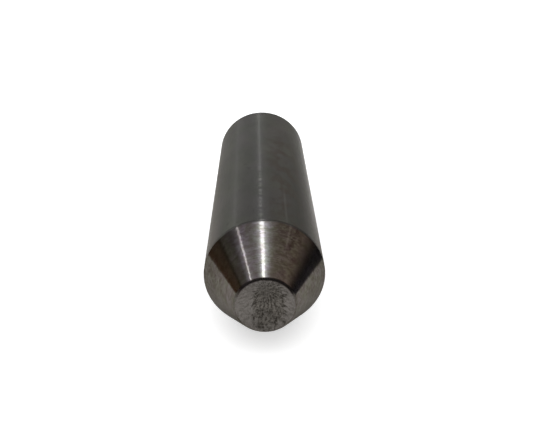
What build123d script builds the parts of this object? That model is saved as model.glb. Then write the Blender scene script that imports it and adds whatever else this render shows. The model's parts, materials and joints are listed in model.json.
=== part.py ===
from build123d import *
import os
from math import radians, tan

# Live centre for a lathe, with a straight shank and a blunt 60 degree point.
#
# The shank is a hollow hardened steel housing. The point and its spindle are one piece, which turns
# inside the housing on three bearings: needles behind the point, a ball thrust bearing that takes the
# push of the work, and an angular contact ball bearing at the rear, pulled up by a lock nut. A screwed
# plug closes the rear.
#
# Frame: millimetres. The spin axis is Y, and the point looks towards -Y. The origin is on the axis, in
# the plane of the housing's front face, so y is the distance behind that face. Profiles are drawn in
# XY, with x as radius.

# ---- driving dimensions --------------------------------------------------------------------------
SHANK_R = 16.0  # straight shank, 32 mm across
SHANK_LENGTH = 95.0
BORE_R = 13.0  # seats for bearings of 26 mm outside diameter
POINT_HALF_ANGLE = 30.0  # a 60 degree point
NOSE_R = 7.7  # the blunt end of the point
RUNNING_GAP = 0.2  # between the turning head and the housing
HEAD_LAND = 0.5  # the narrow cylinder behind the cone

SLIP = 0.02  # radial slip between a ring and its seat
RUN = 0.015  # radial clearance of rolling parts
RING_CHAMFER = 0.3  # on the seat side of the bearing rings

# ---- the housing's inside, front to rear ---------------------------------------------------------
SEAL_FRONT, SEAL_WIDTH = 0.6, 4.0
CLIP_THICKNESS, CLIP_GROOVE_WIDTH, CLIP_GROOVE_R = 1.2, 1.3, 13.6
FRONT_CLIP_Y = 5.2
NEEDLE_RING_FRONT, NEEDLE_RING_WIDTH = 6.4, 16.0
NEEDLE_RING_REAR = NEEDLE_RING_FRONT + NEEDLE_RING_WIDTH
THRUST_FRONT, THRUST_HEIGHT = 26.0, 9.0
WEB_FRONT = THRUST_FRONT + THRUST_HEIGHT
WEB_REAR = 63.0
WEB_BORE_R = 7.0
REAR_BEARING_WIDTH = 8.0
REAR_BEARING_REAR = WEB_REAR + REAR_BEARING_WIDTH
SLEEVE_REAR = 84.0
THREAD_FRONT, THREAD_R = 87.0, 13.25  # M27 x 1, drawn plain at its pitch radius
PLUG_RECESS = 1.0
PLUG_REAR = SHANK_LENGTH - PLUG_RECESS

# ---- the spindle's steps -------------------------------------------------------------------------
JOURNAL_R = 9.0  # seal and needles run here
THRUST_SEAT_R = 6.0
THRUST_SEAT_REAR = WEB_FRONT + 1.0
WAIST_R = 5.8  # through the web
REAR_SEAT_R = 5.0  # inner ring and M10 x 0.75 lock nut
REAR_SEAT_FRONT = 61.5
SPINDLE_END = 79.0

# ---- rolling parts -------------------------------------------------------------------------------
NEEDLE_R, NEEDLE_LENGTH, NEEDLE_COUNT = 1.25, 13.4, 16
NEEDLE_PITCH_R = JOURNAL_R + NEEDLE_R
NEEDLE_RACE_R = JOURNAL_R + 2 * NEEDLE_R
NEEDLE_MIDDLE = NEEDLE_RING_FRONT + NEEDLE_RING_WIDTH / 2
BALL_R = 4.762 / 2  # 3/16 inch balls in both ball bearings
BALL_POCKET_R = BALL_R + 0.07
RACE_R = 2.5  # the grooves' section radius, a little over the balls'
RACE_OFFSET = RACE_R - BALL_R  # a groove's centre stands this far past the ball's, away from its own ring
THRUST_PITCH_R, THRUST_BALL_COUNT = 9.4, 10
THRUST_MIDDLE = THRUST_FRONT + THRUST_HEIGHT / 2
THRUST_WASHER = 2.9
REAR_PITCH_R, REAR_BALL_COUNT = 9.0, 9
REAR_MIDDLE = WEB_REAR + REAR_BEARING_WIDTH / 2

# ---- lock nut and washer -------------------------------------------------------------------------
LOCK_WASHER_THICKNESS = 1.0
LOCK_NUT_FRONT = REAR_BEARING_REAR + LOCK_WASHER_THICKNESS
LOCK_NUT_THICKNESS, LOCK_NUT_R = 4.0, 9.0
NUT_SLOT_WIDTH, NUT_SLOT_DEPTH = 3.0, 2.0
KEYWAY_WIDTH, KEYWAY_FLOOR_R, KEYWAY_FRONT = 3.0, 3.8, 69.5
TAB_WIDTH = 2.8

GREASE_SCREW_R, GREASE_SCREW_LENGTH, HEX_ACROSS = 3.0, 8.0, 3.0

HEAD_REAR = -RUNNING_GAP
CONE_BASE = HEAD_REAR - HEAD_LAND
NOSE = CONE_BASE - (SHANK_R - NOSE_R) / tan(radians(POINT_HALF_ANGLE))


def across(y):
    """The plane square to the spin axis at y, looking rearwards."""
    return Plane(origin=(0, y, 0), x_dir=(1, 0, 0), z_dir=(0, 1, 0))


def save(piece, label):
    """Names a finished piece and writes its STEP file."""
    piece.label = label
    export_step(piece, f"parts/{label}.step")


os.makedirs("parts", exist_ok=True)

# ---- housing: the straight shank, with all the bearing seats -------------------------------------
FRONT_EDGE, REAR_EDGE = 0.15, 1.0
LEAD_IN, MOUTH_EDGE = 0.3, 0.5
with BuildPart() as housing:
    with BuildSketch(Plane.XY):
        with BuildLine():
            Polyline(
                (BORE_R + LEAD_IN, 0),
                (SHANK_R - FRONT_EDGE, 0),
                (SHANK_R, FRONT_EDGE),
                (SHANK_R, SHANK_LENGTH - REAR_EDGE),
                (SHANK_R - REAR_EDGE, SHANK_LENGTH),
                (THREAD_R + MOUTH_EDGE, SHANK_LENGTH),
                (THREAD_R, SHANK_LENGTH - MOUTH_EDGE),
                (THREAD_R, THREAD_FRONT),
                (BORE_R, THREAD_FRONT),
                (BORE_R, WEB_REAR),
                (WEB_BORE_R, WEB_REAR),
                (WEB_BORE_R, WEB_FRONT),
                (BORE_R, WEB_FRONT),
                (BORE_R, LEAD_IN),
                close=True,
            )
        make_face()
        for groove_front in (FRONT_CLIP_Y, NEEDLE_RING_REAR):
            with Locations((CLIP_GROOVE_R / 2, groove_front + CLIP_GROOVE_WIDTH / 2)):
                Rectangle(CLIP_GROOVE_R, CLIP_GROOVE_WIDTH, mode=Mode.SUBTRACT)
    revolve(axis=Axis.Y)
save(housing.part, "housing")

# ---- point and spindle: one hardened piece -------------------------------------------------------
NOSE_EDGE = 0.35  # the broken edge round the blunt end
HEAD_FILLET = 0.4
RELIEF_DEPTH, RELIEF_WIDTH = 0.3, 1.2  # grinding relief ahead of the thrust shoulder
WAIST_TAPER = 0.2
THREAD_EDGE = 0.6
CENTRE_HOLE_R, CENTRE_HOLE_DEPTH, CENTRE_CONE_R = 1.25, 6.0, 2.65
KEYWAY_DEPTH = REAR_SEAT_R - KEYWAY_FLOOR_R
with BuildPart() as point_spindle:
    with BuildSketch(Plane.XY) as spindle_profile:
        with BuildLine():
            Polyline(
                (0, NOSE),
                (NOSE_R, NOSE),
                (SHANK_R, CONE_BASE),
                (SHANK_R, HEAD_REAR),
                (JOURNAL_R, HEAD_REAR),
                (JOURNAL_R, THRUST_FRONT - RELIEF_WIDTH),
                (JOURNAL_R - RELIEF_DEPTH, THRUST_FRONT - RELIEF_WIDTH),
                (JOURNAL_R - RELIEF_DEPTH, THRUST_FRONT),
                (THRUST_SEAT_R, THRUST_FRONT),
                (THRUST_SEAT_R, THRUST_SEAT_REAR),
                (WAIST_R, THRUST_SEAT_REAR + WAIST_TAPER),
                (WAIST_R, REAR_SEAT_FRONT),
                (REAR_SEAT_R, REAR_SEAT_FRONT),
                (REAR_SEAT_R, REAR_BEARING_REAR),
                (REAR_SEAT_R - SLIP, REAR_BEARING_REAR),
                (REAR_SEAT_R - SLIP, SPINDLE_END),
                (0, SPINDLE_END),
                close=True,
            )
        make_face()
        corners = spindle_profile.vertices()
        chamfer(corners.sort_by_distance((NOSE_R, NOSE))[0], NOSE_EDGE)
        fillet(corners.sort_by_distance((JOURNAL_R, HEAD_REAR))[0], HEAD_FILLET)
        chamfer(corners.sort_by_distance((REAR_SEAT_R, SPINDLE_END))[0], THREAD_EDGE)
    revolve(axis=Axis.Y)
    with Locations(across(SPINDLE_END)):
        CounterSinkHole(CENTRE_HOLE_R, CENTRE_CONE_R, CENTRE_HOLE_DEPTH, counter_sink_angle=60)
    with BuildSketch(across(KEYWAY_FRONT)):
        with Locations((0, -KEYWAY_FLOOR_R - KEYWAY_DEPTH)):
            Rectangle(KEYWAY_WIDTH, 2 * KEYWAY_DEPTH)
    extrude(amount=SPINDLE_END - KEYWAY_FRONT, mode=Mode.SUBTRACT)
save(point_spindle.part, "point_spindle")

# ---- shaft seal, 18 x 26 x 4: a pressed steel case and its rubber lip ----------------------------
CASE_WALL, CASE_FLANGE_R = 0.6, 10.2
CASE_R = BORE_R - SLIP
SEAL_REAR = SEAL_FRONT + SEAL_WIDTH
with BuildPart() as seal_case:
    with BuildSketch(Plane.XY):
        with BuildLine():
            Polyline(
                (CASE_FLANGE_R, SEAL_FRONT),
                (CASE_R, SEAL_FRONT),
                (CASE_R, SEAL_REAR),
                (CASE_R - CASE_WALL, SEAL_REAR),
                (CASE_R - CASE_WALL, SEAL_FRONT + CASE_WALL),
                (CASE_FLANGE_R, SEAL_FRONT + CASE_WALL),
                close=True,
            )
        make_face()
    revolve(axis=Axis.Y)
save(seal_case.part, "seal_case")

BOND = 0.01  # between the case and the rubber bonded into it
LIP_RUN = 0.03  # the film of grease that the lip runs on
LIP_TIP_Y, LIP_SLOPE = SEAL_FRONT + 2.3, 0.5
RUBBER_REAR = SEAL_FRONT + 1.7
RUBBER_R = CASE_R - CASE_WALL - BOND
LIP_TIP_R = JOURNAL_R + LIP_RUN
with BuildPart() as seal_lip:
    with BuildSketch(Plane.XY):
        with BuildLine():
            Polyline(
                (RUBBER_R, SEAL_FRONT + CASE_WALL + BOND),
                (CASE_FLANGE_R - BOND, SEAL_FRONT + CASE_WALL + BOND),
                (CASE_FLANGE_R - BOND, SEAL_FRONT),
                (CASE_FLANGE_R - LIP_SLOPE, SEAL_FRONT),
                (LIP_TIP_R + LIP_SLOPE, LIP_TIP_Y - 1.2),
                (LIP_TIP_R, LIP_TIP_Y),
                (LIP_TIP_R + LIP_SLOPE, LIP_TIP_Y + 0.7),
                (CASE_FLANGE_R + 0.3, RUBBER_REAR),
                (RUBBER_R, RUBBER_REAR),
                close=True,
            )
        make_face()
    revolve(axis=Axis.Y)
save(seal_lip.part, "seal_lip")


# ---- two circlips for a 26 mm bore, either side of the needle ring -------------------------------
def bore_circlip(front):
    """An internal circlip: an open spring ring with two lugs for the pliers, its gap at the top."""
    outer_r, inner_r, gap = CLIP_GROOVE_R - 0.05, 11.6, 1.6
    lug_pitch_r, lug_r, lug_angle, lug_hole_r = 11.45, 1.9, 14.0, 0.75
    with BuildPart() as circlip:
        with BuildSketch(across(front)):
            Circle(outer_r)
            Circle(inner_r, mode=Mode.SUBTRACT)
            with PolarLocations(lug_pitch_r, 2, start_angle=-90 - lug_angle, angular_range=4 * lug_angle):
                Circle(lug_r)
                Circle(lug_hole_r, mode=Mode.SUBTRACT)
            with Locations((0, -outer_r)):
                Rectangle(gap, 2 * (outer_r - inner_r + lug_r), mode=Mode.SUBTRACT)
        extrude(amount=CLIP_THICKNESS)
    return circlip.part


CLIP_PLAY = 0.05  # behind the needle ring, where the rear circlip stands in its groove
save(bore_circlip(FRONT_CLIP_Y), "front_circlip")
save(bore_circlip(NEEDLE_RING_REAR + CLIP_PLAY), "middle_circlip")

# ---- needle bearing, 18 x 26 x 16: flanged outer ring, cage and needles --------------------------
FLANGE_WIDTH, FLANGE_R = 1.0, 10.9
with BuildPart() as needle_outer_ring:
    with BuildSketch(Plane.XY) as ring_profile:
        with Locations(((BORE_R - SLIP + FLANGE_R) / 2, NEEDLE_MIDDLE)):
            Rectangle(BORE_R - SLIP - FLANGE_R, NEEDLE_RING_WIDTH)
        chamfer(ring_profile.vertices().group_by(Axis.X)[-1], RING_CHAMFER)
        with Locations((NEEDLE_RACE_R / 2, NEEDLE_MIDDLE)):
            Rectangle(NEEDLE_RACE_R, NEEDLE_RING_WIDTH - 2 * FLANGE_WIDTH, mode=Mode.SUBTRACT)
    revolve(axis=Axis.Y)
save(needle_outer_ring.part, "needle_outer_ring")

NEEDLE_CAGE_INNER_R, NEEDLE_CAGE_OUTER_R, NEEDLE_CAGE_LENGTH = 9.5, 10.7, 15.0
POCKET_PLAY = 0.04
with BuildPart() as needle_cage:
    with BuildSketch(Plane.XY):
        with Locations(((NEEDLE_CAGE_INNER_R + NEEDLE_CAGE_OUTER_R) / 2, NEEDLE_MIDDLE)):
            Rectangle(NEEDLE_CAGE_OUTER_R - NEEDLE_CAGE_INNER_R, NEEDLE_CAGE_LENGTH)
    revolve(axis=Axis.Y)
    with BuildSketch(across(NEEDLE_MIDDLE)):
        with PolarLocations(NEEDLE_PITCH_R, NEEDLE_COUNT):
            Circle(NEEDLE_R + POCKET_PLAY)
    extrude(amount=NEEDLE_LENGTH / 2 + POCKET_PLAY, both=True, mode=Mode.SUBTRACT)
save(needle_cage.part, "needle_cage")

NEEDLE_END_CHAMFER = 0.2
with BuildPart() as needle_rollers:
    with BuildSketch(across(NEEDLE_MIDDLE)):
        with PolarLocations(NEEDLE_PITCH_R, NEEDLE_COUNT):
            Circle(NEEDLE_R - RUN)
    extrude(amount=NEEDLE_LENGTH / 2, both=True)
    chamfer(needle_rollers.edges().filter_by(GeomType.CIRCLE), NEEDLE_END_CHAMFER)
save(needle_rollers.part, "needle_rollers")


# ---- thrust ball bearing, 12 x 26 x 9: two grooved washers, balls and a brass cage ---------------
def thrust_washer(front, inner, outer, race_centre):
    """A flat ring with the ball groove in the face that looks at the balls."""
    with BuildPart() as washer:
        with BuildSketch(Plane.XY) as profile:
            with Locations(((inner + outer) / 2, front + THRUST_WASHER / 2)):
                Rectangle(outer - inner, THRUST_WASHER)
            chamfer(profile.vertices(), RING_CHAMFER)
            with Locations((THRUST_PITCH_R, race_centre)):
                Circle(RACE_R, mode=Mode.SUBTRACT)
        revolve(axis=Axis.Y)
    return washer.part


# The turning washer clears the bore by this, and the standing one clears the spindle by twice this.
WASHER_CLEARANCE = 0.25
shaft_washer = thrust_washer(
    THRUST_FRONT, THRUST_SEAT_R + SLIP, BORE_R - WASHER_CLEARANCE, THRUST_MIDDLE + RACE_OFFSET
)
housing_washer = thrust_washer(
    WEB_FRONT - THRUST_WASHER,
    THRUST_SEAT_R + 2 * WASHER_CLEARANCE,
    BORE_R - SLIP,
    THRUST_MIDDLE - RACE_OFFSET,
)
save(shaft_washer, "thrust_shaft_washer")
save(housing_washer, "thrust_housing_washer")

THRUST_CAGE_INNER_R, THRUST_CAGE_OUTER_R, THRUST_CAGE_THICKNESS = 6.45, 12.35, 2.2
with BuildPart() as thrust_ball_cage:
    with BuildSketch(across(THRUST_MIDDLE)):
        Circle(THRUST_CAGE_OUTER_R)
        Circle(THRUST_CAGE_INNER_R, mode=Mode.SUBTRACT)
        with PolarLocations(THRUST_PITCH_R, THRUST_BALL_COUNT):
            Circle(BALL_POCKET_R, mode=Mode.SUBTRACT)
    extrude(amount=THRUST_CAGE_THICKNESS / 2, both=True)
save(thrust_ball_cage.part, "thrust_ball_cage")

with BuildPart(across(THRUST_MIDDLE)) as thrust_balls:
    with PolarLocations(THRUST_PITCH_R, THRUST_BALL_COUNT):
        Sphere(BALL_R - RUN)
save(thrust_balls.part, "thrust_balls")

# ---- rear angular contact bearing, 10 x 26 x 8 ---------------------------------------------------
INNER_SHOULDER_R, INNER_LOW_R = 7.5, 6.9
OUTER_SHOULDER_R, OUTER_LOW_R = 10.5, 11.2
INNER_BORE_R = REAR_SEAT_R + SLIP / 2
with BuildPart() as rear_inner_ring:
    with BuildSketch(Plane.XY) as inner_profile:
        with BuildLine():
            Polyline(
                (INNER_BORE_R, WEB_REAR),
                (INNER_LOW_R, WEB_REAR),
                (INNER_LOW_R, REAR_MIDDLE),
                (INNER_SHOULDER_R, REAR_MIDDLE),
                (INNER_SHOULDER_R, REAR_BEARING_REAR),
                (INNER_BORE_R, REAR_BEARING_REAR),
                close=True,
            )
        make_face()
        chamfer(inner_profile.vertices().group_by(Axis.X)[0], RING_CHAMFER)
        with Locations((REAR_PITCH_R + RACE_OFFSET, REAR_MIDDLE)):
            Circle(RACE_R, mode=Mode.SUBTRACT)
    revolve(axis=Axis.Y)
save(rear_inner_ring.part, "rear_inner_ring")

with BuildPart() as rear_outer_ring:
    with BuildSketch(Plane.XY) as outer_profile:
        with BuildLine():
            Polyline(
                (BORE_R - SLIP, WEB_REAR),
                (OUTER_SHOULDER_R, WEB_REAR),
                (OUTER_SHOULDER_R, REAR_MIDDLE),
                (OUTER_LOW_R, REAR_MIDDLE),
                (OUTER_LOW_R, REAR_BEARING_REAR),
                (BORE_R - SLIP, REAR_BEARING_REAR),
                close=True,
            )
        make_face()
        chamfer(outer_profile.vertices().group_by(Axis.X)[-1], RING_CHAMFER)
        with Locations((REAR_PITCH_R - RACE_OFFSET, REAR_MIDDLE)):
            Circle(RACE_R, mode=Mode.SUBTRACT)
    revolve(axis=Axis.Y)
save(rear_outer_ring.part, "rear_outer_ring")

REAR_CAGE_INNER_R, REAR_CAGE_OUTER_R, REAR_CAGE_WIDTH = 7.9, 10.1, 6.6
with BuildPart(across(REAR_MIDDLE)) as rear_ball_cage:
    with BuildSketch(across(REAR_MIDDLE)):
        Circle(REAR_CAGE_OUTER_R)
        Circle(REAR_CAGE_INNER_R, mode=Mode.SUBTRACT)
    extrude(amount=REAR_CAGE_WIDTH / 2, both=True)
    with PolarLocations(REAR_PITCH_R, REAR_BALL_COUNT):
        Cylinder(BALL_POCKET_R, 2 * BALL_R, rotation=(0, 90, 0), mode=Mode.SUBTRACT)
save(rear_ball_cage.part, "rear_ball_cage")

with BuildPart(across(REAR_MIDDLE)) as rear_balls:
    with PolarLocations(REAR_PITCH_R, REAR_BALL_COUNT):
        Sphere(BALL_R - RUN)
save(rear_balls.part, "rear_balls")

# ---- lock washer and slotted lock nut on the spindle's M10 x 0.75 thread -------------------------
# One outer tab of the washer is bent back into a slot of the nut, at +X. Its inner tab is in the
# keyway, at +Z.
WASHER_BODY_R, TAB_TIP_R, TAB_COUNT = 6.9, 10.4, 9
TAB_ROOT_R = WASHER_BODY_R - 1.0
TAB_STEP = 360 / TAB_COUNT
BENT_TAB_R, BENT_TAB_REACH = LOCK_NUT_R - NUT_SLOT_DEPTH + 0.05, 2.6
INNER_TAB_TIP_R = KEYWAY_FLOOR_R + 0.1
with BuildPart() as lock_washer:
    with BuildSketch(across(REAR_BEARING_REAR)):
        Circle(WASHER_BODY_R)
        with PolarLocations((TAB_ROOT_R + TAB_TIP_R) / 2, TAB_COUNT - 1, TAB_STEP, 360 - TAB_STEP):
            Rectangle(TAB_TIP_R - TAB_ROOT_R, TAB_WIDTH)
        with Locations((BENT_TAB_R, 0)):
            Rectangle(2 * LOCK_WASHER_THICKNESS, TAB_WIDTH)
        Circle(REAR_SEAT_R + SLIP, mode=Mode.SUBTRACT)
        with Locations((0, -(INNER_TAB_TIP_R + TAB_ROOT_R) / 2)):
            Rectangle(TAB_WIDTH, TAB_ROOT_R - INNER_TAB_TIP_R)
    extrude(amount=LOCK_WASHER_THICKNESS)
    with BuildSketch(across(REAR_BEARING_REAR)):
        with Locations((BENT_TAB_R + LOCK_WASHER_THICKNESS / 2, 0)):
            Rectangle(LOCK_WASHER_THICKNESS, TAB_WIDTH)
    extrude(amount=LOCK_WASHER_THICKNESS + BENT_TAB_REACH)
save(lock_washer.part, "lock_washer")

NUT_CHAMFER = 0.4
with BuildPart() as lock_nut:
    with BuildSketch(across(LOCK_NUT_FRONT)):
        Circle(LOCK_NUT_R)
        Circle(REAR_SEAT_R, mode=Mode.SUBTRACT)
    extrude(amount=LOCK_NUT_THICKNESS)
    chamfer(lock_nut.edges().filter_by(GeomType.CIRCLE).group_by(Axis.Y)[-1], NUT_CHAMFER)
    with BuildSketch(across(LOCK_NUT_FRONT)):
        with PolarLocations(LOCK_NUT_R, 4):
            Rectangle(2 * NUT_SLOT_DEPTH, NUT_SLOT_WIDTH)
    extrude(amount=LOCK_NUT_THICKNESS, mode=Mode.SUBTRACT)
save(lock_nut.part, "lock_nut")

# ---- spacer sleeve between the rear bearing and the plug -----------------------------------------
SLEEVE_INNER_R, SLEEVE_CHAMFER = 11.2, 0.25
with BuildPart() as spacer_sleeve:
    with BuildSketch(Plane.XY) as sleeve_profile:
        with Locations(((SLEEVE_INNER_R + BORE_R - SLIP) / 2, (REAR_BEARING_REAR + SLEEVE_REAR) / 2)):
            Rectangle(BORE_R - SLIP - SLEEVE_INNER_R, SLEEVE_REAR - REAR_BEARING_REAR)
        chamfer(sleeve_profile.vertices(), SLEEVE_CHAMFER)
    revolve(axis=Axis.Y)
save(spacer_sleeve.part, "spacer_sleeve")

# ---- end plug, its O-ring and the grease screw ---------------------------------------------------
O_RING_SECTION_R, O_RING_GROOVE_R, O_RING_GROOVE_WIDTH = 0.5, 11.95, 1.3
O_RING_Y = SLEEVE_REAR + 1.6
PLUG_CHAMFER, PLUG_STEP = 0.4, 0.1
SPANNER_HOLE_R, SPANNER_HOLE_DEPTH, SPANNER_PITCH_R = 1.6, 5.0, 9.0
with BuildPart() as end_plug:
    with BuildSketch(Plane.XY) as plug_profile:
        with BuildLine():
            Polyline(
                (0, SLEEVE_REAR),
                (BORE_R - SLIP, SLEEVE_REAR),
                (BORE_R - SLIP, THREAD_FRONT + PLUG_STEP),
                (THREAD_R - SLIP, THREAD_FRONT + PLUG_STEP + LEAD_IN),
                (THREAD_R - SLIP, PLUG_REAR),
                (0, PLUG_REAR),
                close=True,
            )
        make_face()
        chamfer(plug_profile.vertices().sort_by_distance((THREAD_R, PLUG_REAR))[0], PLUG_CHAMFER)
        with Locations(((O_RING_GROOVE_R + BORE_R) / 2, O_RING_Y)):
            Rectangle(BORE_R - O_RING_GROOVE_R, O_RING_GROOVE_WIDTH, mode=Mode.SUBTRACT)
    revolve(axis=Axis.Y)
    with Locations(across(PLUG_REAR)):
        CounterSinkHole(GREASE_SCREW_R, GREASE_SCREW_R + PLUG_CHAMFER, counter_sink_angle=90)
    with BuildSketch(across(PLUG_REAR)):
        with PolarLocations(SPANNER_PITCH_R, 2):
            Circle(SPANNER_HOLE_R)
    extrude(amount=-SPANNER_HOLE_DEPTH, mode=Mode.SUBTRACT)
save(end_plug.part, "end_plug")

with BuildPart() as end_plug_o_ring:
    with BuildSketch(Plane.XY):
        with Locations((BORE_R - SLIP - O_RING_SECTION_R, O_RING_Y)):
            Circle(O_RING_SECTION_R)
    revolve(axis=Axis.Y)
save(end_plug_o_ring.part, "end_plug_o_ring")

GREASE_SCREW_REAR = PLUG_REAR - 0.8
SCREW_CHAMFER, HEX_DEPTH = 0.5, 3.5
with BuildPart() as grease_screw:
    with BuildSketch(across(GREASE_SCREW_REAR)):
        Circle(GREASE_SCREW_R - SLIP)
    extrude(amount=-GREASE_SCREW_LENGTH)
    chamfer(grease_screw.edges().filter_by(GeomType.CIRCLE), SCREW_CHAMFER)
    with BuildSketch(across(GREASE_SCREW_REAR)):
        RegularPolygon(HEX_ACROSS / 2, 6, major_radius=False)
    extrude(amount=-HEX_DEPTH, mode=Mode.SUBTRACT)
save(grease_screw.part, "grease_screw")
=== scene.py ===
import json
from functools import cached_property
from math import pi, radians

import bpy
from mathutils import Euler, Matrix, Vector


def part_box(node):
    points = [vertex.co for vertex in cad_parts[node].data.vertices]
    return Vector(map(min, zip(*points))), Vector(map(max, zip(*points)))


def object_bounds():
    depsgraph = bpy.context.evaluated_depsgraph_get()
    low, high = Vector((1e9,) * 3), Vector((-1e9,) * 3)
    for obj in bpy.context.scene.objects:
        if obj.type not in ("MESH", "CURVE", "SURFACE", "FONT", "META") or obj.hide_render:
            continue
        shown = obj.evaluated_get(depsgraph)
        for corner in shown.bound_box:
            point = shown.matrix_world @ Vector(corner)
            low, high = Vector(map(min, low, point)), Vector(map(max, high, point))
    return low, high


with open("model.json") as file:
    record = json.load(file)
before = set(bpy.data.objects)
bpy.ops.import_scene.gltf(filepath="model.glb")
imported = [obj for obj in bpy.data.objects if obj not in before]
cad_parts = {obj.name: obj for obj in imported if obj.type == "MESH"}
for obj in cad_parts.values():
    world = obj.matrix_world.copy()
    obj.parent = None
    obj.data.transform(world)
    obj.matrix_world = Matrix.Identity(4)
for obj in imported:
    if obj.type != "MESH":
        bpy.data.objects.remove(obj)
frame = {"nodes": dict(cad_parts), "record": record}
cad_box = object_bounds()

# A straight-shank live centre. Metres; the spin axis is Y, the point looks towards -Y, +Z is up. Every
# CAD node keeps its shape and gets the worked surface of its material slot; the scene adds the floor,
# the room and the lights.

MM = 0.001

# ---- where things are ------------------------------------------------------------------------------
NOSE_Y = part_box("point_spindle")[0].y
FLOOR_Z = cad_box[0][2]
NOSE_R = 7.35 * MM  # the flat of the blunt end, inside its broken edge
STREAK_ANGLE = -3.0  # where the bright streak lies on cone and shank, in degrees from straight up


# ---- node graphs -----------------------------------------------------------------------------------
class Graph:
    """Adds nodes to one node tree. A value is a number, a tuple or another node's output."""

    def __init__(self, tree):
        self.tree = tree

    def put(self, socket, value):
        """Links or sets an input; None leaves it as it is."""
        if isinstance(value, bpy.types.NodeSocket):
            self.tree.links.new(value, socket)
        elif value is not None:
            socket.default_value = value

    def add(self, kind, inputs=(), **settings):
        node = self.tree.nodes.new("ShaderNode" + kind)
        for name, value in settings.items():
            setattr(node, name, value)
        for socket, value in dict(inputs).items():
            self.put(node.inputs[socket], value)
        return node

    def math(self, operation, *values):
        return self.add("Math", enumerate(values), operation=operation).outputs[0]

    def product(self, *values):
        result = values[0]
        for value in values[1:]:
            result = self.math("MULTIPLY", result, value)
        return result

    def length(self, a, b):
        """The length of a vector whose two parts, at right angles, are a and b."""
        return self.math("SQRT", self.math("MULTIPLY_ADD", b, b, self.product(a, a)))

    def vector(self, operation, inputs):
        return self.add("VectorMath", inputs, operation=operation).outputs[0]

    def step(self, value, low, high, to_low=0.0, to_high=1.0):
        """A smooth step of value from low to high, which may fall instead of rise."""
        inputs = {"Value": value, "From Min": low, "From Max": high, "To Min": to_low, "To Max": to_high}
        return self.add("MapRange", inputs, interpolation_type="SMOOTHSTEP").outputs[0]

    def hill(self, value, middle, half):
        """1 at middle, falling smoothly to 0 at half away from it."""
        return self.step(self.distance(value, middle), half, 0.0)

    def distance(self, value, middle):
        """How far value is from middle, to either side."""
        return self.math("ABSOLUTE", self.math("SUBTRACT", value, middle))

    def blend(self, factor, a, b, how="MIX"):
        node = self.add("Mix", data_type="RGBA", blend_type=how)
        self.put(node.inputs[0], factor)
        self.put(node.inputs[6], a)
        self.put(node.inputs[7], b)
        return node.outputs[2]

    def cover(self, base, paint, *amounts):
        """Lays paint over base, as much as the product of the amounts."""
        return self.blend(self.product(*amounts), base, paint)

    def stain(self, base, paint, *amounts):
        """Multiplies base by paint, as much as the product of the amounts."""
        return self.blend(self.product(*amounts), base, paint, "MULTIPLY")

    def ramp(self, value, stops):
        """A colour ramp; stops is [(position from 0 to 1, linear colour), ...]."""
        node = self.add("ValToRGB", {"Fac": value})
        elements = node.color_ramp.elements
        while len(elements) < len(stops):
            elements.new(0.5)
        for element, (position, paint) in zip(elements, stops):
            element.position = position
            element.color = paint
        return node.outputs["Color"]

    def noise(self, place, size_mm, detail=3.0, roughness=0.5, offset=0.0):
        """Noise from 0 to 1, whose features are about size_mm long along x, y and z."""
        scale = [1 / (s * MM) for s in size_mm]
        mapping = self.add("Mapping", {"Vector": place, "Location": (offset, offset, offset), "Scale": scale})
        inputs = {"Vector": mapping.outputs[0], "Scale": 1.0, "Detail": detail, "Roughness": roughness}
        return self.add("TexNoise", inputs).outputs[0]


def tone(r, g=None, b=None):
    """A linear colour; one number gives a grey."""
    return (r, r if g is None else g, r if b is None else b, 1.0)


def shade(base, times):
    """The linear colour base, made lighter or darker."""
    return tone(*[times * c for c in base])


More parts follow.
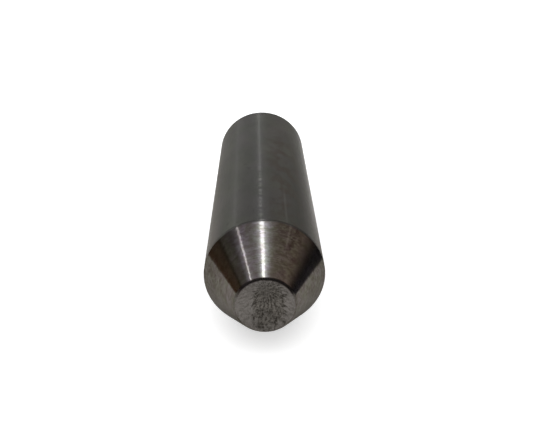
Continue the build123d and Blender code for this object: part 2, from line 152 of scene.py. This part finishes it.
# ---- materials -------------------------------------------------------------------------------------
class Surface(Graph):
    """A material with one shader, painted by its piece's own coordinates."""

    def __init__(self, name, metallic=1.0):
        self.material = bpy.data.materials.new(name)
        self.material.use_nodes = True
        super().__init__(self.material.node_tree)
        self.shader = self.tree.nodes["Principled BSDF"]
        self.shader.inputs["Metallic"].default_value = metallic
        self.place = self.add("TexCoord").outputs["Object"]
        self.x, self.y, self.z = self.add("SeparateXYZ", {0: self.place}).outputs
        self.height_from_nose = self.math("SUBTRACT", self.y, NOSE_Y)

    @cached_property
    def angle(self):
        """Round the spin axis in degrees: 0 is up (+Z), 90 is +X."""
        return self.math("MULTIPLY", self.math("ARCTAN2", self.x, self.z), 1 / radians(1))

    @cached_property
    def radius(self):
        return self.length(self.x, self.z)

    def spots(self, size_mm, low, high, **texture):
        """Patches of 1 on 0, where noise of that size passes from low to high."""
        return self.step(self.noise(self.place, size_mm, **texture), low, high)

    def tints(self, base, size_mm, warm, cool, **texture):
        """Tints base in drifts, with two paints that are nearly white."""
        return self.stain(base, self.blend(self.spots(size_mm, 0.38, 0.62, **texture), warm, cool), 1.0)

    def strip(self, along, middle, half, none_mm, full_mm):
        """A strip along the axis: 1 at middle degrees round it, 0 at half degrees away from there, and
        rising from 0 to 1 along it between none_mm and full_mm."""
        return self.product(self.hill(self.angle, middle, half), self.step(along, none_mm * MM, full_mm * MM))

    def set(self, **values):
        """Sets inputs of the shader, with _ for each space in a name."""
        for name, value in values.items():
            self.put(self.shader.inputs[name.replace("_", " ")], value)

    def uneven(self, noise, at_low, at_high):
        """Runs from at_low to at_high over the middle of the range of a noise."""
        return self.step(noise, 0.3, 0.7, at_low, at_high)

    def bump(self, height, depth_mm, normal=None):
        """A normal from a height, of which 1 stands for depth_mm."""
        node = self.add("Bump", {"Height": height, "Distance": depth_mm * MM, "Strength": 1.0})
        self.put(node.inputs["Normal"], normal)
        return node.outputs[0]

    def rings(self, pitch_mm, offset=0.0, detail=4.0):
        """Noise drawn out round the spin axis, as a lathe or grinder leaves it."""
        return self.noise(self.place, (200, pitch_mm, 200), detail=detail, offset=offset)

    def turned(self, anisotropy):
        """Marks run round the spin axis, so highlights spread along it. Returns the tangent."""
        tangent = self.add("Tangent", direction_type="RADIAL", axis="Y").outputs[0]
        self.set(Tangent=tangent, Anisotropic=anisotropy, Anisotropic_Rotation=0.25)
        return tangent

    def waver(self, tangent, amount, push):
        """The surface's normal, leaned round the axis by amount (0 to 1) about its middle."""
        lean = self.math("MULTIPLY", self.math("SUBTRACT", amount, 0.5), push)
        normal = self.add("NewGeometry").outputs["Normal"]
        leaned = self.vector("ADD", {0: normal, 1: self.vector("SCALE", {0: tangent, "Scale": lean})})
        return self.vector("NORMALIZE", {0: leaned})


def gap_oil_and_shadow(s, base, inside):
    """Dark oil and a painted shadow line where the point runs against the housing, most of it up on the
    right; inside is 1 there.
    """
    amount = s.math("MULTIPLY_ADD", s.hill(s.angle, middle=48, half=28), 0.65, 0.25)
    return s.cover(base, tone(0.03, 0.026, 0.024), inside, amount)


# Thin films of oil on the shank: where each lies round the axis and its half width there (degrees), how
# far behind the shank's front it ends and how far it is full (mm), and its paint.
SHANK_FILMS = [
    (42, 22, 80, 10, tone(0.74, 0.74, 0.72)),
    (54, 36, 65, 0, tone(0.64, 0.64, 0.62)),
    (-44, 14, 38, 0, tone(0.76, 0.76, 0.75)),
]


def shank_paint(s):
    """Grey steel in faint blotches, a little darker towards the front."""
    blotches = s.spots((7, 12, 7), 0.3, 0.7, detail=5, roughness=0.6)
    base = s.blend(blotches, tone(0.30, 0.30, 0.288), tone(0.355, 0.352, 0.335))
    base = s.tints(base, (6, 9, 6), tone(1.0, 0.97, 1.0), tone(0.985, 1.0, 0.95), detail=3, offset=6.0)
    base = s.stain(base, tone(0.90), s.step(s.y, 90 * MM, 0.0))
    for middle, half, none_mm, full_mm, paint in SHANK_FILMS:
        base = s.stain(base, paint, s.strip(s.y, middle, half, none_mm, full_mm))
    return base


def shank_stains(s, base):
    """Brown stains from old coolant, up on the right of the front half, and dark spots all over."""
    stains = s.spots((3.5, 6, 3.5), 0.42, 0.60, detail=4, roughness=0.6, offset=3.1)
    zone = s.strip(s.y, middle=24, half=30, none_mm=90, full_mm=50)
    base = s.cover(base, tone(0.235, 0.185, 0.16), stains, zone, 0.75)
    spots = s.spots((2.0, 3.0, 2.0), 0.62, 0.72, detail=3, roughness=0.6, offset=8.0)
    return s.cover(base, tone(0.15, 0.14, 0.13), spots, 0.5)


def shank_wear_and_highlight(s, base):
    """Two bright rub marks along the shank, and painted highlight beads: bright and dull bands only on the
    very top of its front half, where the bright streak falls.
    """
    short_rub = s.strip(s.y, middle=21.5, half=2.2, none_mm=27, full_mm=16)
    base = s.cover(base, tone(0.48, 0.48, 0.47), short_rub, 0.35)
    degrees_per_metre = 60  # how far the long rub mark drifts round the shank
    drifted = s.math("MULTIPLY_ADD", s.y, degrees_per_metre, s.angle)
    base = s.cover(base, tone(0.52), s.hill(drifted, middle=-28.3, half=3.4), 0.15)
    # painted highlight: bands that break the bright streak into beads, only where the streak falls
    bands = s.step(s.rings(2.0, offset=5.0, detail=2.0), 0.36, 0.64)
    highlight_crest = s.strip(s.y, middle=STREAK_ANGLE, half=3.6, none_mm=60, full_mm=24)
    return s.stain(base, s.blend(bands, tone(0.87), tone(1.38)), highlight_crest)


def shank_steel():
    """The housing: ground round the axis, then handled, and rubbed smoother on its front flanks."""
    s = Surface("shank_steel")
    base = shank_wear_and_highlight(s, shank_stains(s, shank_paint(s)))
    # painted shadow line of the running gap, with dark oil, on the housing's front rim
    base = gap_oil_and_shadow(s, base, s.step(s.y, 0.30 * MM, 0.05 * MM))
    rings = s.rings(0.4)
    normal = s.waver(s.turned(anisotropy=0.9), s.rings(1.0, offset=2.0), push=0.012)
    flanks = s.step(s.distance(s.angle, STREAK_ANGLE), 8, 24)
    smoother = s.product(s.step(s.y, 45 * MM, 5 * MM), flanks)
    roughness = s.math("MULTIPLY_ADD", smoother, -0.045, s.uneven(rings, 0.25, 0.265))
    s.set(Base_Color=base, Roughness=roughness, Normal=s.bump(rings, depth_mm=0.0008, normal=normal))
    return s.material


def cone_paint(s, rings, towards_nose):
    """Fine rings of lighter and darker steel, lighter towards the nose, under a mottle of oil."""
    base = s.blend(s.uneven(rings, 0.0, 1.0), tone(0.41), tone(0.49))
    base = s.stain(base, s.blend(towards_nose, tone(0.93), tone(1.16)), 1.0)
    clean = s.spots((2.0, 1.0, 2.0), 0.40, 0.60, detail=6, roughness=0.75, offset=4.0)
    base = s.blend(clean, s.stain(base, tone(0.74, 0.71, 0.66), 1.0), base)
    paints = tone(1.0, 0.95, 0.99), tone(0.97, 1.0, 0.91)
    return s.tints(base, (2.5, 2.0, 2.5), *paints, detail=4, roughness=0.6, offset=9.0)


def cone_stains(s, base, towards_nose):
    """Brown specks up on the right and below, oily stains below, and purple clouds up on the right."""
    below = s.step(s.distance(s.angle, 0.0), 62, 75, to_high=0.7)
    specks = s.spots((1.1, 0.6, 1.1), 0.49, 0.58, detail=5, roughness=0.7, offset=2.0)
    zone = s.math("MAXIMUM", s.hill(s.angle, middle=30, half=26), below)
    fewer = s.math("MULTIPLY_ADD", towards_nose, -0.40, 0.85)
    base = s.cover(base, tone(0.17, 0.135, 0.12), specks, zone, fewer)
    oil = s.spots((3.5, 2.5, 3.5), 0.50, 0.64, detail=3, roughness=0.6, offset=3.3)
    base = s.stain(base, tone(0.72, 0.70, 0.62), oil, below, 0.9)
    clouds = s.spots((2.4, 1.8, 2.4), 0.46, 0.62, detail=4, roughness=0.6, offset=12.0)
    return s.stain(base, tone(0.76, 0.67, 0.73), clouds, s.hill(s.angle, middle=32, half=24))


def cone_wear(s, base):
    """Duller steel up on the left by the gap, a dark smear low on the left by the blunt end, and a
    bright rub mark up on the right, near the short one of the shank."""
    dull = s.strip(s.height_from_nose, middle=-29, half=15, none_mm=7, full_mm=13)
    base = s.stain(base, tone(0.76, 0.74, 0.77), dull)
    low_left = s.strip(s.height_from_nose, middle=-126, half=22, none_mm=6, full_mm=2)
    smear = s.spots((1.4, 1.0, 1.4), 0.38, 0.52, detail=4, roughness=0.6, offset=1.7)
    base = s.cover(base, tone(0.15, 0.16, 0.11), low_left, smear, 0.75)
    rub = s.strip(s.height_from_nose, middle=25, half=2.0, none_mm=6, full_mm=10)
    return s.cover(base, tone(0.66, 0.67, 0.66), rub, 0.4)


def point_cone(s, rings):
    """Colour of the turned cone."""
    towards_nose = s.step(s.height_from_nose, 13 * MM, 3 * MM)
    base = cone_paint(s, rings, towards_nose)
    base = cone_wear(s, cone_stains(s, base, towards_nose))
    # painted shadow line of the running gap, with dark oil, on the cone's rear rim
    return gap_oil_and_shadow(s, base, s.step(s.y, -1.05 * MM, -0.75 * MM))


def fan_place(s):
    """Coordinates that fan out downwards over the blunt end from a point near its top."""
    fan_x, fan_z = 0.2 * MM, 5.0 * MM
    across = s.math("SUBTRACT", s.x, fan_x)
    down = s.math("SUBTRACT", fan_z, s.z)
    turn = s.math("MULTIPLY", s.math("ARCTAN2", across, down), 5.0 * MM)
    return s.add("CombineXYZ", {0: turn, 1: s.length(across, down), 2: 0.0}).outputs[0]


def scraped_patch(s, scrapes):
    """1 inside the darker oval of the blunt end, with an edge that the scrapes make ragged."""
    middle_x, middle_z = 0.9 * MM, -0.2 * MM
    half_width, half_height = 4.1 * MM, 7.2 * MM
    ragged = 1.3
    wide = s.math("DIVIDE", s.math("SUBTRACT", s.x, middle_x), half_width)
    high = s.math("DIVIDE", s.math("SUBTRACT", s.z, middle_z), half_height)
    span = s.math("MULTIPLY_ADD", s.math("SUBTRACT", scrapes, 0.5), ragged, s.length(wide, high))
    return s.step(span, 1.18, 0.78)


def point_end(s):
    """Colour and relief (0 to 1) of the blunt end: bright and scuffed, with a darker scraped patch."""
    scrapes = s.noise(fan_place(s), (0.46, 2.0, 1), detail=3, roughness=0.65, offset=7.0)
    speckle = s.noise(s.place, (0.5, 1, 0.5), detail=4, roughness=0.7, offset=1.0)
    relief = s.math("MULTIPLY_ADD", s.math("SUBTRACT", scrapes, speckle), 0.5, speckle)
    raised = s.step(relief, 0.40, 0.60)
    bright = s.blend(raised, tone(0.41, 0.394, 0.372), tone(0.65, 0.63, 0.615))
    dark = s.blend(raised, tone(0.13, 0.122, 0.108), tone(0.55, 0.53, 0.495))
    base = s.blend(scraped_patch(s, scrapes), bright, dark)
    pits = s.spots((0.6, 1, 0.5), 0.63, 0.70, detail=3, roughness=0.6, offset=5.0)
    return s.cover(base, tone(0.14, 0.135, 0.12), pits, 0.55), relief


def painted_dark_rim(s, base):
    """Painted dark reflection round the upper half of the blunt end's broken edge: a dark arc standing in for
    the dark front mirrored there.
    """
    at_rim = s.step(s.radius, 7.05 * MM, 7.3 * MM)
    at_front = s.step(s.height_from_nose, 0.5 * MM, 0.4 * MM)
    upper = s.step(s.distance(s.angle, 0.0), 82, 56)
    return s.stain(base, tone(0.45, 0.42, 0.42), at_rim, at_front, upper)


def point_steel():
    """The point: a finely turned cone, and a blunt end that has been faced and knocked about. The blunt
    end has deeper relief and is rougher."""
    s = Surface("point_steel")
    on_front = s.step(s.height_from_nose, 0.06 * MM, 0.03 * MM)
    face = s.product(on_front, s.step(s.radius, NOSE_R + 0.05 * MM, NOSE_R))
    rings = s.rings(0.22)
    end, relief = point_end(s)
    # painted dark reflection on the upper rim of the blunt end
    base = painted_dark_rim(s, s.blend(face, point_cone(s, rings), end))
    normal = s.waver(s.turned(anisotropy=0.92), s.rings(0.75, offset=6.0, detail=3.0), push=0.04)
    height = s.math("MULTIPLY_ADD", s.product(face, relief), 8.0, rings)
    roughness = s.math("MULTIPLY_ADD", face, 0.22, s.uneven(rings, 0.155, 0.18))
    s.set(Base_Color=base, Roughness=roughness, Normal=s.bump(height, depth_mm=0.0012, normal=normal))
    return s.material


def ground_steel(name, base, roughness):
    """Ground or lapped bearing steel, with fine rings."""
    s = Surface(name)
    rings = s.rings(0.15)
    s.turned(anisotropy=0.5)
    s.set(Base_Color=s.blend(rings, tone(*base), shade(base, 1.12)))
    s.set(Roughness=s.uneven(rings, roughness, 1.3 * roughness), Normal=s.bump(rings, depth_mm=0.0008))
    return s.material


def turned_steel(name, base, roughness):
    """As turned: visible tool rings on the faces, a little oil in them."""
    s = Surface(name)
    feed = 0.25 * MM
    radians_per_ring = 6.28
    tool = s.math("SINE", s.math("MULTIPLY", s.radius, radians_per_ring / feed))
    tool = s.math("MULTIPLY_ADD", tool, 0.5, 0.5)
    grain = s.noise(s.place, (0.8, 0.3, 0.8), detail=4)
    oil = s.spots((4, 4, 4), 0.45, 0.7, detail=4, offset=2.0)
    s.turned(anisotropy=0.6)
    s.set(Base_Color=s.cover(tone(*base), shade(base, 0.6), oil, 0.5))
    s.set(Roughness=s.uneven(grain, roughness, 1.25 * roughness))
    s.set(Normal=s.bump(s.math("MULTIPLY_ADD", tool, 0.6, grain), depth_mm=0.003))
    return s.material


def dark_steel(name, base, roughness):
    """Black oxide or phosphate, rubbed thin here and there."""
    s = Surface(name)
    cloud = s.noise(s.place, (1.5, 1.5, 1.5), detail=6, roughness=0.65)
    s.set(Base_Color=s.blend(s.step(cloud, 0.55, 0.8), tone(*base), shade(base, 2.6)))
    s.set(Roughness=s.uneven(cloud, 1.15 * roughness, roughness))
    s.set(Normal=s.bump(s.noise(s.place, (0.2, 0.2, 0.2)), depth_mm=0.004))
    return s.material


def drawn_steel(name, base, roughness):
    """Pressed sheet, with fine drawing lines along the axis."""
    s = Surface(name)
    lines = s.noise(s.place, (0.15, 6, 0.15), detail=3)
    s.set(Base_Color=s.blend(lines, tone(*base), shade(base, 1.15)))
    s.set(Roughness=s.uneven(lines, roughness, 1.2 * roughness), Normal=s.bump(lines, depth_mm=0.002))
    return s.material


def cage_brass():
    """Machined brass, dulled by tarnish in clouds."""
    s = Surface("cage_brass")
    rings = s.rings(0.3)
    tarnish = s.spots((3, 3, 3), 0.4, 0.7, detail=5)
    s.turned(anisotropy=0.4)
    s.set(Base_Color=s.cover(tone(0.72, 0.52, 0.23), tone(0.48, 0.33, 0.14), tarnish, 0.5))
    s.set(Roughness=s.uneven(rings, 0.26, 0.34), Normal=s.bump(rings, depth_mm=0.002))
    return s.material


def moulded(name, base, roughness, grain_mm):
    """Moulded plastic or rubber: a fine matt skin and slightly uneven colour."""
    s = Surface(name, metallic=0.0)
    skin = s.noise(s.place, (grain_mm, grain_mm, grain_mm), detail=4)
    cloud = s.noise(s.place, (3, 3, 3), detail=3, offset=5.0)
    s.set(Base_Color=s.blend(cloud, shade(base, 0.85), tone(*base)))
    s.set(Roughness=s.uneven(skin, roughness, 1.2 * roughness), Normal=s.bump(skin, depth_mm=0.01))
    return s.material


FINISHES = {
    "shank_steel": shank_steel(),
    "point_steel": point_steel(),
    "race_steel": ground_steel("race_steel", (0.60, 0.60, 0.59), 0.16),
    "rolling_steel": ground_steel("rolling_steel", (0.70, 0.70, 0.70), 0.05),
    "pressed_steel": drawn_steel("pressed_steel", (0.45, 0.45, 0.44), 0.32),
    "spring_steel": dark_steel("spring_steel", (0.10, 0.10, 0.105), 0.42),
    "blackened_steel": dark_steel("blackened_steel", (0.07, 0.07, 0.075), 0.38),
    "plug_steel": turned_steel("plug_steel", (0.36, 0.36, 0.355), 0.34),
    "cage_brass": cage_brass(),
    "cage_nylon": moulded("cage_nylon", (0.62, 0.57, 0.42), 0.45, 0.3),
    "nitrile_rubber": moulded("nitrile_rubber", (0.025, 0.025, 0.027), 0.6, 0.2),
}
for part in frame["record"]["subparts"]:
    frame["nodes"][part["node"]].material_slots[0].material = FINISHES[part["material_slot"]]


# ---- floor -----------------------------------------------------------------------------------------
FLOOR_SIZE = 6.0  # metres


def painted_light_beside(s):
    """Amount and colour of painted pools of light on the paper close beside the shank, brighter still on its
    right, as the steel sees it.
    """
    rightwards = s.step(s.x, -10 * MM, 10 * MM)
    colour = s.blend(rightwards, tone(0.64, 0.63, 0.61), tone(1.40, 1.39, 1.37))
    along_left = s.step(s.y, 20 * MM, 60 * MM)
    along_right = s.step(s.y, 35 * MM, 105 * MM)
    close = s.product(s.step(s.x, -46 * MM, -22 * MM), s.step(s.x, 49 * MM, 25 * MM))
    return s.product(close, s.blend(rightwards, along_left, along_right)), colour


def mirrored_paper(s):
    """What the steel sees of the paper, with light and shade painted on it: a painted shadow dims it in front
    of the point, painted pools of light make it brightest beside the shank, and it ends in the dark of the
    bench's edges to the left and right of the point."""
    far = s.step(s.y, 60 * MM, 200 * MM)
    seen = s.blend(far, tone(0.255, 0.238, 0.215), tone(0.25, 0.242, 0.23))
    beside, lit = painted_light_beside(s)
    # painted pools of light beside the shank, seen only in the steel
    seen = s.blend(beside, seen, lit)
    # painted shadow: darker paper in front of the point, seen only in the steel
    seen = s.blend(s.step(s.y, 0.0, -30 * MM), seen, tone(0.215, 0.203, 0.192))
    # 1 ahead of the two diagonals that run outwards and back from the shank's front
    ahead = s.step(s.math("SUBTRACT", s.math("ABSOLUTE", s.x), s.y), -20 * MM, 40 * MM)
    left_edge = s.step(s.x, -210 * MM, -240 * MM)
    right_edge = s.step(s.x, 88 * MM, 100 * MM)
    seen = s.cover(seen, tone(0.042, 0.018, 0.006), ahead, left_edge)
    return s.cover(seen, tone(0.010, 0.008, 0.010), ahead, right_edge)


def floor_paper():
    """Pale paper with a little light of its own, which the steel mirrors darker and warmer, with painted
    light and shade.
    """
    s = Surface("floor_paper", metallic=0.0)
    mirror_ray = s.add("LightPath").outputs["Is Glossy Ray"]
    base = s.blend(mirror_ray, tone(0.80), mirrored_paper(s))
    own_light = s.math("MULTIPLY_ADD", mirror_ray, -0.5, 0.5)
    s.set(Base_Color=base, Roughness=0.9, Specular_IOR_Level=0.0)
    s.set(Emission_Color=tone(1.0), Emission_Strength=own_light)
    return s.material


bpy.ops.mesh.primitive_plane_add(size=FLOOR_SIZE, location=(0, 0, FLOOR_Z))
floor = bpy.context.object
floor.name = "floor"
floor.data.materials.append(floor_paper())


# ---- room ------------------------------------------------------------------------------------------
# What the point mirrors above the floor, by the angle round the spin axis: 0 is up, 90 is right.
WALLS = [
    (-100, tone(0.042, 0.018, 0.006)),
    (-76, tone(0.042, 0.024, 0.011)),
    (-70, tone(0.018, 0.012, 0.004)),
    (-65, tone(0.070, 0.061, 0.050)),
    (-51, tone(0.078, 0.070, 0.064)),
    (-46, tone(0.18, 0.165, 0.18)),
    (-40, tone(0.33, 0.30, 0.33)),
    (-30, tone(0.26, 0.23, 0.25)),
    (-20, tone(0.22, 0.20, 0.20)),
    (-13, tone(0.37, 0.36, 0.37)),
    (-7, tone(0.92, 0.92, 0.95)),
    (-3, tone(1.20, 1.20, 1.24)),
    (2, tone(0.92, 0.92, 0.95)),
    (8, tone(0.42, 0.41, 0.41)),
    (15, tone(0.235, 0.214, 0.186)),
    (23, tone(0.175, 0.148, 0.122)),
    (40, tone(0.176, 0.143, 0.119)),
    (60, tone(0.155, 0.122, 0.092)),
    (71, tone(0.083, 0.062, 0.048)),
    (80, tone(0.018, 0.010, 0.008)),
    (87, tone(0.005, 0.003, 0.004)),
    (100, tone(0.010, 0.008, 0.011)),
]

# The wall behind, which the shank mirrors, by the x of a unit direction towards it.
BACK_WALL = [
    (-0.40, tone(0.27, 0.27, 0.255)),
    (-0.20, tone(0.31, 0.31, 0.30)),
    (-0.050, tone(0.32, 0.32, 0.315)),
    (-0.043, tone(0.95)),
    (-0.037, tone(0.95)),
    (-0.030, tone(0.30)),
    (0.05, tone(0.295, 0.29, 0.275)),
    (0.20, tone(0.305, 0.297, 0.28)),
    (0.40, tone(0.19, 0.187, 0.175)),
]
BACK_SCALE = 1.25  # spreads the x of -0.4 to 0.4 over a ramp of 0 to 1


def room():
    """A dim workshop for the reflections, dark above the front. The camera sees it plain white, and matt
    surfaces get plain pale light from it."""
    world = bpy.data.worlds.new("room")
    bpy.context.scene.world = world
    world.use_nodes = True
    g = Graph(world.node_tree)
    x, y, z = g.add("SeparateXYZ", {0: g.add("TexCoord").outputs["Generated"]}).outputs
    around = g.math("MULTIPLY_ADD", g.math("ARCTAN2", x, z), 0.5 / pi, 0.5)
    walls = g.ramp(around, [(0.5 + angle / 360, paint) for angle, paint in WALLS])
    across = g.math("MULTIPLY_ADD", x, BACK_SCALE, 0.5)
    back = g.ramp(across, [(0.5 + BACK_SCALE * place, paint) for place, paint in BACK_WALL])
    back = g.stain(back, tone(0.38), g.step(z, 0.05, 0.6))
    seen = g.blend(g.step(y, 0.36, 0.56), walls, back)
    front = g.blend(g.step(y, -0.60, -0.80), tone(0.012, 0.010, 0.010), tone(0.045, 0.043, 0.042))
    seen = g.blend(g.step(y, -0.25, -0.5), seen, front)
    rays = g.add("LightPath").outputs
    seen = g.blend(rays["Is Glossy Ray"], tone(0.80), seen)
    seen = g.blend(rays["Is Camera Ray"], seen, tone(1.0))
    g.put(world.node_tree.nodes["Background"].inputs["Color"], seen)


room()


# ---- lights ----------------------------------------------------------------------------------------
def lamp(name, angle, distance, y_range, width, brightness, tint=(1, 1, 1)):
    """A flat lamp parallel to the spin axis and facing it, at an angle in degrees from straight up.
    Its distance and sizes are in metres, and its brightness is a radiance."""
    light = bpy.data.lights.new(name, "AREA")
    light.shape = "RECTANGLE"
    light.size = width
    light.size_y = y_range[1] - y_range[0]
    light.energy = brightness * pi * light.size * light.size_y
    light.color = tint
    holder = bpy.data.objects.new(name, light)
    bpy.context.scene.collection.objects.link(holder)
    turn = Euler((0, radians(angle), 0)).to_matrix()
    holder.location = turn @ Vector((0, sum(y_range) / 2, distance))
    holder.rotation_euler = turn.to_euler()
    return holder


lamp("ceiling_strip", STREAK_ANGLE, 1.0, (-0.5, 0.35), 0.11, 1.6, (0.98, 0.98, 1.03))
lamp("left_strip", -38.6, 1.1, (-0.45, 0.35), 0.045, 1.5, (1.0, 0.95, 1.05))
lamp("far_left_tube", -60, 1.0, (1.2, 3.6), 0.03, 0.40)
soft_box = lamp("soft_box", 0, 1.3, (-1.3, 1.3), 2.6, 0.6)
soft_box.visible_glossy = False  # it lights matt surfaces only


# ---- camera ----------------------------------------------------------------------------------------
CAMERA_PLACE = Vector((-0.98, -147.79, 88.03)) * MM
CAMERA_PITCH, CAMERA_YAW = 26.05, -1.50  # degrees below level, and degrees to the left of +Y
FOCAL_LENGTH, SENSOR_WIDTH = 42.4, 36.0  # millimetres, as the camera's settings take them


def make_camera():
    lens = bpy.data.cameras.new("camera")
    lens.lens = FOCAL_LENGTH
    lens.sensor_width = SENSOR_WIDTH
    lens.clip_start = 10 * MM
    camera = bpy.data.objects.new("camera", lens)
    camera.location = CAMERA_PLACE
    camera.rotation_euler = (radians(90 - CAMERA_PITCH), 0, radians(CAMERA_YAW))
    bpy.context.scene.collection.objects.link(camera)
    bpy.context.scene.camera = camera


make_camera()
bpy.context.scene.view_settings.view_transform = "Standard"
